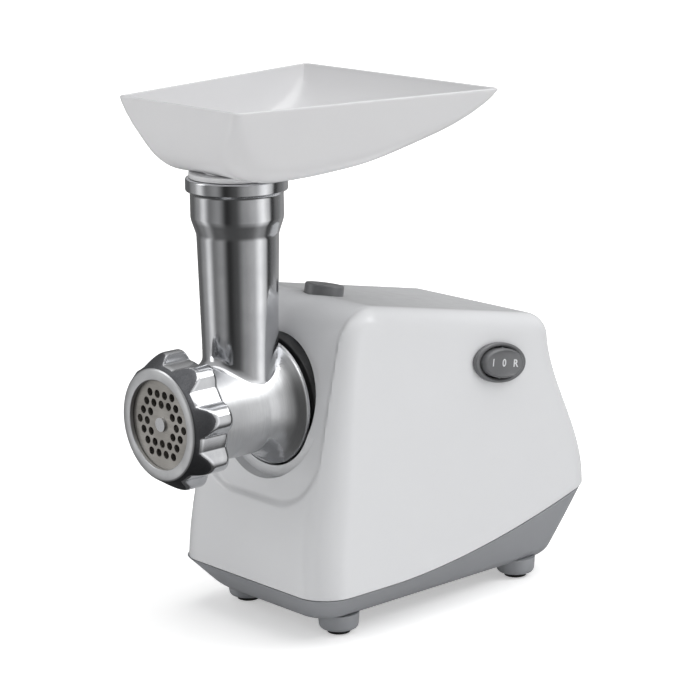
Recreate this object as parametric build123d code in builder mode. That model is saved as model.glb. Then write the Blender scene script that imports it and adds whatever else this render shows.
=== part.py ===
"""Electric meat grinder: housing, gear train, motor and a bayonet grinding head.

The frame: +Z up, -Y towards the ring nut, +X the switch side. The origin is on the
table, midway between the nut's face and the back of the housing. Millimetres.
"""
import os
from math import acos, atan2, cos, degrees, hypot, pi, radians, sin, sqrt, tan

from build123d import *

os.makedirs("parts", exist_ok=True)

# Driving dimensions
tube_y = -90.5          # the feed tube's axis
axis_z = 150.0          # the screw's axis
nut_face_y = -158.0
landing_y = -70.0       # upright flat below and beside the socket
landing_top = 179.0
rear_y = 157.5

wall = 2.5              # moulded housing wall
half_width = 75.0       # housing, at the seam
side_draft = 3.41       # degrees
edge_radius = 13.0      # long edges of the housing
rim_z = 348.0           # hopper rim
base_z = 10.0           # underside of the base tray
gap = 0.3               # between pieces that move past each other
fit = 0.05              # running fit, radial

foot_x, foot_front_y, foot_rear_y = 45.6, -50.8, 112.6
foot_radius, pad_radius, pad_height = 13.3, 7.0, 2.0

barrel_radius, bore_radius = 31.0, 28.0
thread_radius, plate_radius = 34.5, 31.0
spigot_radius, socket_radius = 35.9, 42.7
tube_radius, tube_bore = 24.0, 21.5
neck_bore = 21.2           # the hopper's neck, a little closer than the tube
neck_radius, neck_socket = 26.2, 26.5

gear_angle = 25.0       # pressure angle, degrees
backlash = 0.12         # taken off each flank
motor_z = 78.15
output_at = (0.0, axis_z)
gear2_at = (24.0, 118.0)
gear1_at = (-3.0, 102.77)
motor_at = (0.0, motor_z)
plane_c = (-36.5, -24.5)    # output gear and third pinion, front and back
plane_b = (-21.5, -13.5)    # second wheel and its pinion
plane_a = (-10.5, -3.5)     # first wheel and the motor pinion

pivot_y, pivot_z = -41.0, 193.0     # the lock lever's pin

screw_axis = Axis((0, 0, axis_z), (0, 1, 0))
tube_axis = Axis((0, tube_y, 0), (0, 0, 1))


def across(y):
    """The upright plane at y that faces the front: local x is X and local y is Z."""
    return Plane.XZ.offset(-y)


def top_height(y):
    """Height of the housing's sloping top."""
    return 208.3 - 0.19 * y


def disc(front, back, radius, centre=(0, axis_z), mode=Mode.ADD):
    """A disc along Y, in the part being made."""
    with BuildSketch(across(back)) as face:
        with Locations(centre):
            Circle(radius)
    extrude(face.sketch, amount=back - front, mode=mode)


def bar(low, high, mode=Mode.ADD):
    """A block between two corners, in the part being made."""
    middle = [(a + b) / 2 for a, b in zip(low, high)]
    with Locations(tuple(middle)):
        Box(*[b - a for a, b in zip(low, high)], mode=mode)


def upright(x, y, low, high, radius, mode=Mode.ADD):
    """A round post along Z, in the part being made."""
    with BuildSketch(Plane.XY.offset(low)) as face:
        with Locations((x, y)):
            Circle(radius)
    extrude(face.sketch, amount=high - low, mode=mode)


def turned(points, axis, mode=Mode.ADD):
    """A turned piece: points are (y, radius) from the axis, which lies along Y."""
    height = axis.position.Z
    with BuildSketch(Plane.YZ) as face:
        with BuildLine():
            Polyline(*[(y, height + r) for y, r in points], close=True)
        make_face()
    revolve(face.sketch, axis=axis, mode=mode)


def save(piece, name):
    """Labels a finished piece and writes its file."""
    piece.part.label = name
    export_step(piece.part, f"parts/{name}.step")


# Housing and base tray

def housing_form():
    """The housing as a solid: a face that leans back, a sloping top and a hollow back."""
    lean_end = (-58.86, 194.9)
    with BuildPart() as form:
        with BuildSketch(Plane.YZ):
            with BuildLine():
                foot = Line((-90, 20), (-89.175, 42.08))
                bend = TangentArc(foot @ 1, (-83.51, 85.52), tangent=foot % 1)
                front = Line(bend @ 1, lean_end)
                brow = TangentArc(front @ 1, (-29.77, top_height(-29.77)), tangent=front % 1)
                top = Line(brow @ 1, (115.6, top_height(115.6)))
                corner = TangentArc(top @ 1, (128.2, 173.8), tangent=top % 1)
                back = Spline(corner @ 1, (136.5, 138), (148.5, 108), (rear_y, 70),
                              tangents=[corner % 1, (0, -1)])
                Polyline(back @ 1, (155, 20), foot @ 0)
            make_face()
        extrude(amount=100, both=True)
        slope = tan(radians(side_draft))
        low, high = half_width + 14 * slope, half_width - 196 * slope
        with BuildSketch(across(200)):
            Polygon((-low, 20), (low, 20), (high, 230), (-high, 230), align=None)
        extrude(amount=400, mode=Mode.INTERSECT)
        sides = form.faces().filter_by(lambda f: abs(f.normal_at().X) > 0.9)
        fillet(sides.edges().filter_by(lambda e: e.center().Z > 20.5), edge_radius)
    return form.part


def seam_height(y):
    """Height of the seam between housing and base: level in front, rising to the rear."""
    run = max(0.0, y + 30.0) / 185.0
    return 33.4 + 31.0 * run ** 1.75


def above_seam(lift):
    """Everything over the seam, raised by the lift."""
    with BuildPart() as block:
        with BuildSketch(Plane.YZ):
            with BuildLine():
                level = Line((-120, 33.4 + lift), (-30, 33.4 + lift))
                rise = Spline(*[(y, seam_height(y) + lift) for y in (-30, 10, 50, 90, 125, 160)],
                              tangents=[(1, 0), (1, 0.30)])
                Polyline(rise @ 1, (200, seam_height(200) + lift), (200, 300), (-120, 300), level @ 0)
            make_face()
        extrude(amount=110, both=True)
    return block.part


def plan(z, front, back, half_front, half_back, corner):
    """A level outline with round corners, wider or narrower at the back."""
    with BuildSketch(Plane.XY.offset(z)) as outline:
        Polygon((-half_front, front), (half_front, front), (half_back, back), (-half_back, back), align=None)
        fillet(outline.vertices(), corner)
    return outline.sketch


def base_form(inset):
    """The base tray as a solid: walls that slope in from the seam to the floor."""
    foot, floor = 54 - 0.7 * inset, base_z + inset
    with BuildPart() as form:
        for y in (-95, -30, 20, 70, 115, 165):
            high = seam_height(y)
            lean = (half_width - 54) / (high - base_z)
            top = half_width - 1.1 * inset + 6 * lean
            with BuildSketch(across(y)):
                Polygon((-foot, floor), (foot, floor), (top, high + 6), (-top, high + 6), align=None)
        loft(ruled=True)
        with BuildPart(mode=Mode.PRIVATE) as tub:
            loft([plan(floor, -72 + inset, 141 - inset, foot + 0.4, foot + 0.4, 14 - inset),
                  plan(33.4, -90 + 1.2 * inset, 147.6 - inset, 75.2 - inset, 65 - inset, 16 - inset),
                  plan(74, -121 + inset, 159 - inset, 111 - inset, 82.5 - inset, 18 - inset)], ruled=True)
        add(tub.part, mode=Mode.INTERSECT)
        underside = form.faces().sort_by(Axis.Z)[0]
        fillet(underside.edges(), 9 - inset)
    return form.part


screw_posts = [(side * 52.0, y) for side in (-1, 1) for y in (0.0, 78.0)]
feet = [(side * foot_x, y) for side in (-1, 1) for y in (foot_front_y, foot_rear_y)]
gland_plane = Plane(origin=(-30, 147.9, 34), x_dir=(1, 0, 0), z_dir=(0, 0.963, -0.27))
switch_y, switch_z = 73.5, 161.5
switch_x = half_width - (switch_z - 34) * tan(radians(side_draft))
switch_plane = Plane(origin=(switch_x, switch_y, switch_z),
                     x_dir=(0, 0.9824, -0.1867),
                     z_dir=(cos(radians(side_draft)), 0, sin(radians(side_draft))))
button_y, button_radius = -19.5, 13.0
button_plane = Plane(origin=(0, button_y, top_height(button_y)),
                     x_dir=(1, 0, 0), z_dir=(0, 0.1867, 0.9824))

whole_form = housing_form()
with BuildPart() as landing:
    disc(landing_y, -45, 50)
    bar((-51, landing_y - 1, landing_top), (51, -44, 202), mode=Mode.SUBTRACT)
with BuildPart() as guard:
    disc(landing_y - 30, landing_y + wall, 50 + wall)
    bar((-54, landing_y - 31, landing_top + wall), (54, -44, 205), mode=Mode.SUBTRACT)
with BuildPart() as room:
    add(offset(whole_form, amount=-wall, kind=Kind.INTERSECTION, mode=Mode.PRIVATE))
    add(guard.part, mode=Mode.SUBTRACT)

with BuildPart() as housing_shell:
    add(whole_form)
    add(landing.part)
    disc(-100, landing_y, 50, mode=Mode.SUBTRACT)
    add(room.part, mode=Mode.SUBTRACT)
    disc(-100, -30, socket_radius + gap, mode=Mode.SUBTRACT)
    bar((-5, -66, 188), (5, -50, 196.5), mode=Mode.SUBTRACT)
    for x, y in screw_posts:
        outer = 72.1 if x > 0 else -72.1
        upright(x, y, seam_height(y) + 1, 78, 6)
        bar((min(x, outer), y - 1.5, seam_height(y) + 1), (max(x, outer), y + 1.5, 78))
        upright(x, y, seam_height(y), 70, 1.4, mode=Mode.SUBTRACT)
    with BuildSketch(switch_plane):
        Ellipse(22.5, 12.3)
    extrude(amount=20, both=True, mode=Mode.SUBTRACT)
    with BuildSketch(button_plane):
        Circle(button_radius + gap)
    extrude(amount=20, both=True, mode=Mode.SUBTRACT)
    add(above_seam(0.15), mode=Mode.INTERSECT)
save(housing_shell, "housing_shell")

with BuildPart() as base_tray:
    add(base_form(0))
    add(base_form(wall), mode=Mode.SUBTRACT)
    for x, y in feet:
        upright(x, y, pad_height, base_z + 1, foot_radius)
        upright(x, y, pad_height, base_z + 6, 5)
        upright(x, y, pad_height - 1, 7.0, 3.0 + fit, mode=Mode.SUBTRACT)
    for x, y in screw_posts:
        upright(x, y, base_z + 1, seam_height(y) - 1, 6)
        upright(x, y, 0, seam_height(y), 2.0, mode=Mode.SUBTRACT)
        upright(x, y, 0, base_z + 8, 3.9, mode=Mode.SUBTRACT)
    for place in range(-4, 5):
        bar((place * 6 - 1.4, 30, 0), (place * 6 + 1.4, 70, base_z + 5), mode=Mode.SUBTRACT)
    with BuildSketch(gland_plane):
        Circle(6.0)
    extrude(amount=12, both=True, mode=Mode.SUBTRACT)
    add(above_seam(-0.15), mode=Mode.SUBTRACT)
save(base_tray, "base_tray")

with BuildPart() as foot_pads:
    for x, y in feet:
        upright(x, y, 0, pad_height, pad_radius)
        upright(x, y, pad_height, 6.5, 3.0)
save(foot_pads, "foot_pads")

with BuildPart() as base_screws:
    for x, y in screw_posts:
        upright(x, y, base_z + 5.4, base_z + 7.9, 3.6)
        upright(x, y, base_z + 7.9, seam_height(y) + 14, 1.35)
        bar((x - 2.4, y - 0.4, base_z + 5.4), (x + 2.4, y + 0.4, base_z + 6.6), mode=Mode.SUBTRACT)
        bar((x - 0.4, y - 2.4, base_z + 5.4), (x + 0.4, y + 2.4, base_z + 6.6), mode=Mode.SUBTRACT)
save(base_screws, "base_screws")

with BuildPart() as socket_bezel:
    disc(-65.8, -44.6, socket_radius)
    disc(-67, -44, spigot_radius + gap, mode=Mode.SUBTRACT)
    bar((-5, -63.6, 180), (5, -44, 195), mode=Mode.SUBTRACT)
save(socket_bezel, "socket_bezel")

with BuildPart() as cord_gland:
    with BuildSketch(gland_plane):
        Circle(8.5)
    extrude(amount=2.5)
    with BuildSketch(gland_plane.offset(-6)):
        Circle(5.95)
    extrude(amount=6)
    with BuildSketch(gland_plane.offset(-7)):
        Circle(3.6)
    extrude(amount=20, mode=Mode.SUBTRACT)
save(cord_gland, "cord_gland")

with BuildPart() as terminal_block:
    bar((-38, 108, base_z + wall + 0.2), (-10, 122, base_z + 17))
    for place in range(3):
        upright(-32 + 8 * place, 115, base_z + 12, base_z + 18, 2.2, mode=Mode.SUBTRACT)
save(terminal_block, "terminal_block")

# Switch

with BuildPart() as switch_bezel:
    with BuildSketch(switch_plane.offset(0.1)):
        Ellipse(24, 13.5)
    extrude(amount=2.9, taper=8)
    with BuildSketch(switch_plane.offset(-12)):
        Ellipse(22.2, 12.0)
    extrude(amount=12.1)
    with BuildSketch(switch_plane.offset(-13)):
        Ellipse(18.9, 10.6)
    extrude(amount=20, mode=Mode.SUBTRACT)
save(switch_bezel, "switch_bezel")

rocker_plane = switch_plane.offset(2.0)
rocker_pivot = Plane(origin=rocker_plane.origin, x_dir=rocker_plane.z_dir, z_dir=rocker_plane.y_dir)
pin_radius = 0.95
with BuildPart() as switch_rocker:
    for height, draw_in in ((-6.0, 0.8), (0, 0), (4.8, 0.7)):
        with BuildSketch(rocker_plane.offset(height)):
            Ellipse(18.3 - draw_in, 10 - draw_in)
    loft(ruled=True)
    with BuildSketch(rocker_pivot):
        Circle(pin_radius + fit)
    extrude(amount=12, both=True, mode=Mode.SUBTRACT)
save(switch_rocker, "switch_rocker")

with BuildPart() as rocker_pin:
    with BuildSketch(rocker_pivot):
        Circle(pin_radius)
    extrude(amount=10.4, both=True)
save(rocker_pin, "rocker_pin")

with BuildPart() as switch_body:
    with BuildSketch(switch_plane.offset(-12.2)):
        Rectangle(30, 20)
    extrude(amount=-14)
    with BuildSketch(switch_plane.offset(-26.2)):
        with GridLocations(9, 1, 3, 1):
            Rectangle(0.8, 6)
    extrude(amount=-7)
save(switch_body, "switch_body")

# Lock: a button on the top tips a lever, whose tooth drops in the spigot's groove

with BuildPart() as lock_button:
    with BuildSketch(button_plane.offset(-3.4)):
        Circle(button_radius)
    extrude(amount=9.9)
    fillet(lock_button.faces().sort_by(Axis.Z)[-1].edges(), 1.0)
    with BuildSketch(button_plane.offset(-4.9)):
        Circle(button_radius + 1.2)
    extrude(amount=1.5)
save(lock_button, "lock_button")

with BuildPart() as lock_plunger:
    with BuildSketch(button_plane.offset(-5.9)):
        Circle(6.5)
    extrude(amount=1)
    with BuildSketch(button_plane.offset(-16.3)):
        Circle(2.5)
    extrude(amount=10.4)
save(lock_plunger, "lock_plunger")

with BuildPart() as lock_spring:
    with BuildLine():
        coil = Helix(1.5, 4.5, 5.0)
    with BuildSketch(Plane(origin=coil @ 0, z_dir=coil % 0)):
        Circle(0.35)
    sweep(path=coil, is_frenet=True)
spring = button_plane.offset(-10.9).location * lock_spring.part
spring.label = "lock_spring"
export_step(spring, "parts/lock_spring.step")

with BuildPart() as lock_lever:
    bar((-3.5, pivot_y - 5, 191.5), (3.5, -20, 195))
    bar((-3.5, -60, 188), (3.5, pivot_y - 2, 191.6))
    bar((-3.0, -60, 183.3), (3.0, -57.5, 189))
    with BuildSketch(Plane.YZ):
        with Locations((pivot_y, pivot_z)):
            Circle(1.5 + fit)
    extrude(amount=10, both=True, mode=Mode.SUBTRACT)
save(lock_lever, "lock_lever")

with BuildPart() as lever_pin:
    with BuildSketch(Plane.YZ):
        with Locations((pivot_y, pivot_z)):
            Circle(1.5)
    extrude(amount=8, both=True)
save(lever_pin, "lever_pin")

# Grinding head

with BuildPart() as screw_casing:
    turned([(-153.5, 0), (-153.5, thread_radius - 0.8), (-152.7, thread_radius), (-131, thread_radius),
            (-130, barrel_radius), (-92, barrel_radius), (-86, 31.6), (-80, 33.4), (-75.5, 36.4),
            (-72.8, 39.6), (-71.2, 41.5), (-68.5, 41.5), (-68.5, spigot_radius), (-63, spigot_radius),
            (-63, 32.6), (-56.2, 32.6), (-56.2, spigot_radius), (-53.5, spigot_radius), (-53.5, 0)],
           screw_axis)
    with BuildSketch(Plane.XZ.offset(-tube_y)):
        Polygon((0, axis_z), (tube_radius - 0.3, axis_z), (tube_radius + 0.2, 185), (26.0, 262),
                (29.0, 271), (29.4, 273), (29.4, 288), (30.2, 289.3), (32.2, 290.2),
                (32.2, 297.2), (31.6, 298), (0, 298), align=None)
    revolve(axis=tube_axis)
    disc(-160, -148.0, plate_radius + 0.2, mode=Mode.SUBTRACT)
    disc(-150, -56.0, bore_radius, mode=Mode.SUBTRACT)
    disc(-60, -50, 14, mode=Mode.SUBTRACT)
    upright(0, tube_y, axis_z, 300, tube_bore, mode=Mode.SUBTRACT)
    upright(0, tube_y, 268, 300, neck_socket, mode=Mode.SUBTRACT)
    bar((-2.1, -153.6, axis_z + 28), (2.1, -147.9, axis_z + 32.6), mode=Mode.SUBTRACT)
save(screw_casing, "screw_casing")

with BuildPart() as plate_key:
    bar((-2.05, -153.2, axis_z + 29.6), (2.05, -148.1, axis_z + 32.5))
save(plate_key, "plate_key")

hole_pitch, hole_radius = 7.3, 2.6
hole_grid = [((column - (6 - abs(row)) / 2) * hole_pitch, row * hole_pitch * sqrt(3) / 2)
             for row in range(-3, 4) for column in range(7 - abs(row))]
plate_holes = [(x, axis_z + z) for x, z in hole_grid if hypot(x, z) > 1.5 * hole_pitch]

with BuildPart() as grinding_plate:
    disc(-155, -150, plate_radius)
    with BuildSketch(across(-140)):
        with Locations(*plate_holes):
            Circle(hole_radius)
        with Locations(output_at):
            Circle(4.5 + fit)
        with Locations((0, axis_z + 31)):
            Rectangle(4.8, 4.2)
    extrude(amount=30, mode=Mode.SUBTRACT)
save(grinding_plate, "grinding_plate")

with BuildPart() as ring_nut:
    with BuildSketch(across(-132.5)) as lobes:
        with Locations(output_at):
            Circle(38.2)
            with PolarLocations(34.6, 8, start_angle=12):
                Circle(9.4)
        fillet(lobes.vertices(), 4)
    extrude(amount=-132.5 - nut_face_y)
    turned([(nut_face_y, 0), (nut_face_y, 35.5), (-145.5, 44.2), (-132, 44.2), (-132, 0)],
           screw_axis, mode=Mode.INTERSECT)
    disc(-160, -155, 28.5, mode=Mode.SUBTRACT)
    disc(-155.3, -130, thread_radius + gap, mode=Mode.SUBTRACT)
save(ring_nut, "ring_nut")


def scoop(inset):
    """The pan as a solid: a curved front and floor between walls that splay outwards."""
    with BuildPart() as form:
        with BuildSketch(Plane.YZ):
            with BuildLine():
                nose = Spline((-137 + inset, rim_z), (-131.5 + inset, 326), (-113, 304.5 + inset),
                              (-92, 299.5 + inset), tangents=[(0.02, -1), (1, -0.02)])
                keel = Spline(nose @ 1, (-30, 306 + inset), (20, 322 + inset * 1.1),
                              (46.5 - inset * 1.5, 343 + inset * 0.5), tangents=[(1, -0.02), (0.55, 0.8)])
                Polyline(keel @ 1, (46.8 - inset, rim_z), nose @ 0)
            make_face()
        extrude(amount=120, both=True)
        with BuildPart(mode=Mode.PRIVATE) as walls:
            for z in (295, rim_z):
                drop = (rim_z - z) * 0.36 + inset
                front_half, back_half = 57.5 - drop, 95.4 - drop
                with BuildSketch(Plane.XY.offset(z)):
                    Polygon((-front_half, -140), (front_half, -140), (back_half, 60), (-back_half, 60),
                            align=None)
            loft(ruled=True)
        add(walls.part, mode=Mode.INTERSECT)
        creases = form.edges().filter_by(lambda e: e.center().Z < rim_z and abs(e.center().X) > 20)
        fillet(creases, 9 - 1.5 * inset)
    return form.part


with BuildPart() as hopper_pan:
    add(scoop(0))
    add(scoop(2.2), mode=Mode.SUBTRACT)
    upright(0, tube_y, 298.3, 302, 30)
    upright(0, tube_y, 269, 302, neck_radius)
    upright(0, tube_y, 260, 320, neck_bore, mode=Mode.SUBTRACT)
save(hopper_pan, "hopper_pan")

# What turns with the screw

flight_pitch = 10.0
with BuildPart() as feed_screw:
    disc(-146.4, -58.8, 9.5)
    disc(-149.9, -146.4, 6.2)
    disc(-156.5, -149.9, 4.5)
    disc(-62, -58.8, 13)
    for turn in range(8):
        front = -141 + turn * flight_pitch
        turned([(front, 9), (front + 2.5, bore_radius - 0.6), (front + 5, bore_radius - 0.6),
                (front + 7.5, 9)], screw_axis)
save(feed_screw, "feed_screw")

with BuildPart() as cutter_blade:
    with BuildSketch(across(-146.6)):
        with Locations(output_at):
            Circle(11)
            with PolarLocations(16, 4):
                Rectangle(22, 8)
            Circle(6.2 + fit, mode=Mode.SUBTRACT)
    extrude(amount=3.0)
save(cutter_blade, "cutter_blade")

with BuildPart() as drive_bush:
    with BuildSketch(across(-46.9)):
        with Locations(output_at):
            RegularPolygon(11.3, 6)
    extrude(amount=11.8)
save(drive_bush, "drive_bush")

with BuildPart() as output_shaft:
    disc(-52.5, -44.9, 17)
    disc(-44.9, 4.3, 7)
    with BuildSketch(across(-46.7)):
        with Locations(output_at):
            RegularPolygon(11.3 + fit, 6)
    extrude(amount=10, mode=Mode.SUBTRACT)
save(output_shaft, "output_shaft")

# Gears


def tooth_outline(teeth, module, turn, centre):
    """Points round a gear: each tooth has two involute flanks between root and tip."""
    pitch = module * teeth / 2
    base = pitch * cos(radians(gear_angle))
    root, tip = pitch - 1.2 * module, pitch + 0.9 * module
    lean = tan(radians(gear_angle)) - radians(gear_angle)
    flank = []
    for step in range(5):
        r = max(base, root) + (tip - max(base, root)) * step / 4
        roll = acos(min(1, base / r))
        flank.append((r, pi / (2 * teeth) - backlash / pitch + lean - (tan(roll) - roll)))
    if root < base:
        flank.insert(0, (root, flank[0][1]))
    points = []
    for tooth in range(teeth):
        middle = radians(turn) + 2 * pi * tooth / teeth
        rising = [(r, middle - half) for r, half in flank]
        falling = [(r, middle + half) for r, half in reversed(flank)]
        points += [(centre[0] + r * cos(a), centre[1] + r * sin(a)) for r, a in rising + falling]
    return points


def gear(planes, teeth, module, centre, turn, bore):
    """A spur gear between two planes, with the middle of a tooth at the turn."""
    with BuildPart() as wheel:
        with BuildSketch(across(planes[1])):
            with BuildLine():
                Polyline(*tooth_outline(teeth, module, turn, centre), close=True)
            make_face()
            if bore:
                with Locations(centre):
                    Circle(bore, mode=Mode.SUBTRACT)
        extrude(amount=planes[1] - planes[0])
    return wheel


def heading(start, end):
    """The direction from one gear's centre to the next, in degrees."""
    return degrees(atan2(end[1] - start[1], end[0] - start[0]))


def meets(start, end, teeth):
    """The turn that puts a gap between teeth where the gear at start has a tooth."""
    return heading(start, end) + 180 + 180 / teeth


pin2_radius, pin1_radius = 4.0, 3.0
output_gear = gear(plane_c, 52, 1.25, output_at, heading(output_at, gear2_at), 7.0)
save(output_gear, "output_gear")
second_pinion = gear((plane_c[0], plane_b[0]), 12, 1.25, gear2_at, meets(output_at, gear2_at, 12),
                     pin2_radius + fit)
save(second_pinion, "second_pinion")
second_wheel = gear(plane_b, 50, 1.0, gear2_at, heading(gear2_at, gear1_at), pin2_radius + fit)
save(second_wheel, "second_wheel")
first_pinion = gear((plane_b[0], plane_a[0]), 12, 1.0, gear1_at, meets(gear2_at, gear1_at, 12),
                    pin1_radius + fit)
save(first_pinion, "first_pinion")
first_wheel = gear(plane_a, 52, 0.8, gear1_at, heading(gear1_at, motor_at), pin1_radius + fit)
save(first_wheel, "first_wheel")
motor_teeth = gear(plane_a, 10, 0.8, motor_at, meets(gear1_at, motor_at, 10), 0)
with BuildPart() as motor_shaft:
    add(motor_teeth.part)
    disc(plane_a[1], 107.8, 4.0, motor_at)
save(motor_shaft, "motor_shaft")

with BuildPart() as gear_axles:
    disc(-43.4, 3.4, pin2_radius, gear2_at)
    disc(-43.4, 3.4, pin1_radius, gear1_at)
save(gear_axles, "gear_axles")

# Gearbox

gear_room = [(output_at, 37.5), (gear2_at, 30.0), (gear1_at, 26.0), (motor_at, 16.0)]
ears = [(-40.0, 145.0), (-31.0, 98.0), (41.0, 145.0), (48.0, 98.0)]


def gearbox_outline(y, inset, with_ears):
    """A belt round the gears' circles, with or without the screw ears."""
    with BuildSketch(across(y)) as outline:
        for centre, radius in gear_room:
            with Locations(centre):
                Circle(radius - inset)
        make_hull()
        if with_ears:
            with Locations(*ears):
                Circle(5)
    return outline.sketch


with BuildPart() as gearbox_case:
    extrude(gearbox_outline(-0.1, 0, True), amount=44.4)
    extrude(gearbox_outline(0, 3, False), amount=41, mode=Mode.SUBTRACT)
    disc(-50, -30, 10, mode=Mode.SUBTRACT)
    disc(-43.5, -40, pin2_radius, gear2_at, mode=Mode.SUBTRACT)
    disc(-43.5, -40, pin1_radius, gear1_at, mode=Mode.SUBTRACT)
    for centre in ears:
        disc(-30, 1, 1.9, centre, mode=Mode.SUBTRACT)
    for side in (-1, 1):
        inner, outer = sorted((side * 4.0, side * 7.5))
        bar((inner, -44.4, 184), (outer, -37, 197))
        inner, outer = sorted((side * 10.0, side * 13.0))
        bar((inner, -30, 183), (outer, -14, 200))
    bar((-13, -30, 198), (13, -14, 200))
    with BuildSketch(Plane.YZ):
        with Locations((pivot_y, pivot_z)):
            Circle(1.5)
    extrude(amount=12, both=True, mode=Mode.SUBTRACT)
    with BuildSketch(button_plane.offset(-20)):
        Circle(3.1)
    extrude(amount=15, mode=Mode.SUBTRACT)
save(gearbox_case, "gearbox_case")

with BuildPart() as gearbox_cover:
    extrude(gearbox_outline(4.5, 0, True), amount=4.5)
    disc(-1, 5, 10, mode=Mode.SUBTRACT)
    disc(-1, 5, 6.5, motor_at, mode=Mode.SUBTRACT)
    disc(-1, 3.5, pin2_radius, gear2_at, mode=Mode.SUBTRACT)
    disc(-1, 3.5, pin1_radius, gear1_at, mode=Mode.SUBTRACT)
    for centre in ears:
        disc(-1, 5, 2.1, centre, mode=Mode.SUBTRACT)
save(gearbox_cover, "gearbox_cover")

with BuildPart() as gearbox_screws:
    for centre in ears:
        disc(-24, 4.6, 1.85, centre)
        disc(4.6, 7.2, 3.6, centre)
        disc(6.0, 8, 1.6, centre, mode=Mode.SUBTRACT)
save(gearbox_screws, "gearbox_screws")

with BuildPart() as output_bearings:
    for front, back in ((-44.4, -37.2), (-3.0, 4.4)):
        disc(front, back, 9.95)
        disc(front - 1, back + 1, 7 + fit, mode=Mode.SUBTRACT)
save(output_bearings, "output_bearings")

# Motor

stack = (32.0, 74.0)        # laminations, front and back
armature_radius = 20.0
yoke_x, yoke_z = 42.0, 38.0
bolts = [(sx * 38.0, motor_z + sz * 34.0) for sx in (-1, 1) for sz in (-1, 1)]


def motor_plate(y):
    """The motor's outline: a rectangle with round corners."""
    with BuildSketch(across(y)) as outline:
        with Locations(motor_at):
            RectangleRounded(2 * yoke_x, 2 * yoke_z, 7)
        with Locations(*bolts):
            Circle(2.1, mode=Mode.SUBTRACT)
    return outline


with BuildPart() as stator_core:
    with BuildSketch(across(stack[1])):
        with Locations(motor_at):
            RectangleRounded(2 * yoke_x, 2 * yoke_z, 7)
            Rectangle(68, 60, mode=Mode.SUBTRACT)
            Rectangle(28, 60)
            with Locations((0, 14), (0, -14)):
                Rectangle(44, 10)
            Circle(armature_radius + 0.6, mode=Mode.SUBTRACT)
        with Locations(*bolts):
            Circle(2.1, mode=Mode.SUBTRACT)
    extrude(amount=stack[1] - stack[0])
save(stator_core, "stator_core")

with BuildPart() as field_coils:
    for side in (-1, 1):
        low, high = sorted((motor_z + side * 20.2, motor_z + side * 29.5))
        bar((-27, stack[0] - 6, low), (27, stack[1] + 6, high))
        bar((-14.2, stack[0] - 0.3, low - 1), (14.2, stack[1] + 0.3, high + 1), mode=Mode.SUBTRACT)
save(field_coils, "field_coils")

with BuildPart() as armature_core:
    with BuildSketch(across(stack[1])):
        with Locations(motor_at):
            Circle(armature_radius)
            Circle(4.0, mode=Mode.SUBTRACT)
            with PolarLocations(17.5, 12):
                Rectangle(6, 3, mode=Mode.SUBTRACT)
    extrude(amount=stack[1] - stack[0])
save(armature_core, "armature_core")

with BuildPart() as armature_windings:
    for front, back in ((stack[0] - 5, stack[0] - 0.1), (stack[1] + 0.1, stack[1] + 7)):
        disc(front, back, 18.5, motor_at)
        disc(front - 1, back + 1, 7.5, motor_at, mode=Mode.SUBTRACT)
    with BuildSketch(across(stack[1] + 1)):
        with Locations(motor_at):
            with PolarLocations(16.8, 12):
                Rectangle(3.6, 2.8)
    extrude(amount=stack[1] - stack[0] + 2)
save(armature_windings, "armature_windings")

with BuildPart() as commutator:
    disc(85, 98, 10, motor_at)
    disc(84, 99, 4.0, motor_at, mode=Mode.SUBTRACT)
    with BuildSketch(across(98.5)):
        with Locations(motor_at):
            with PolarLocations(10, 24):
                Rectangle(1.6, 0.5)
    extrude(amount=12, mode=Mode.SUBTRACT)
save(commutator, "commutator")

with BuildPart() as cooling_fan:
    disc(16.5, 18.5, 30, motor_at)
    disc(16.5, 24, 8, motor_at)
    with BuildSketch(across(24)):
        with Locations(motor_at):
            with PolarLocations(20, 14):
                Rectangle(19, 1.6, rotation=24)
    extrude(amount=6)
    disc(15, 25, 4.0, motor_at, mode=Mode.SUBTRACT)
save(cooling_fan, "cooling_fan")

with BuildPart() as motor_bearings:
    for front, back in ((6.5, 13.5), (101.0, 108.0)):
        disc(front, back, 11, motor_at)
        disc(front - 1, back + 1, 4 + fit, motor_at, mode=Mode.SUBTRACT)
save(motor_bearings, "motor_bearings")

with BuildPart() as front_bracket:
    extrude(motor_plate(8.4).sketch, amount=3.4)
    disc(5, 14.5, 13.5, motor_at)
    disc(6.4, 15, 11.02, motor_at, mode=Mode.SUBTRACT)
    disc(0, 7, 6.5, motor_at, mode=Mode.SUBTRACT)
    for centre in ears:
        disc(4, 9, 4.2, centre, mode=Mode.SUBTRACT)
    for x, z in bolts:
        disc(8, stack[0] - 0.1, 4, (x, z))
        disc(4, stack[0], 2.1, (x, z), mode=Mode.SUBTRACT)
save(front_bracket, "front_bracket")

with BuildPart() as rear_bracket:
    extrude(motor_plate(105.4).sketch, amount=3.4)
    disc(100.0, 109.5, 13.5, motor_at)
    disc(99, 108.1, 11.02, motor_at, mode=Mode.SUBTRACT)
    for x, z in bolts:
        disc(stack[1] + 0.1, 102.5, 4, (x, z))
        disc(stack[1], 106, 2.1, (x, z), mode=Mode.SUBTRACT)
save(rear_bracket, "rear_bracket")

with BuildPart() as motor_bolts:
    for centre in bolts:
        disc(5.2, 105.5, 2.0, centre)
        disc(105.5, 108.5, 3.8, centre)
save(motor_bolts, "motor_bolts")

with BuildPart() as carbon_brushes:
    for side in (-1, 1):
        inner, outer = sorted((side * 10.1, side * 24.0))
        bar((inner, 88, motor_z - 3), (outer, 95, motor_z + 3))
save(carbon_brushes, "carbon_brushes")

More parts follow.
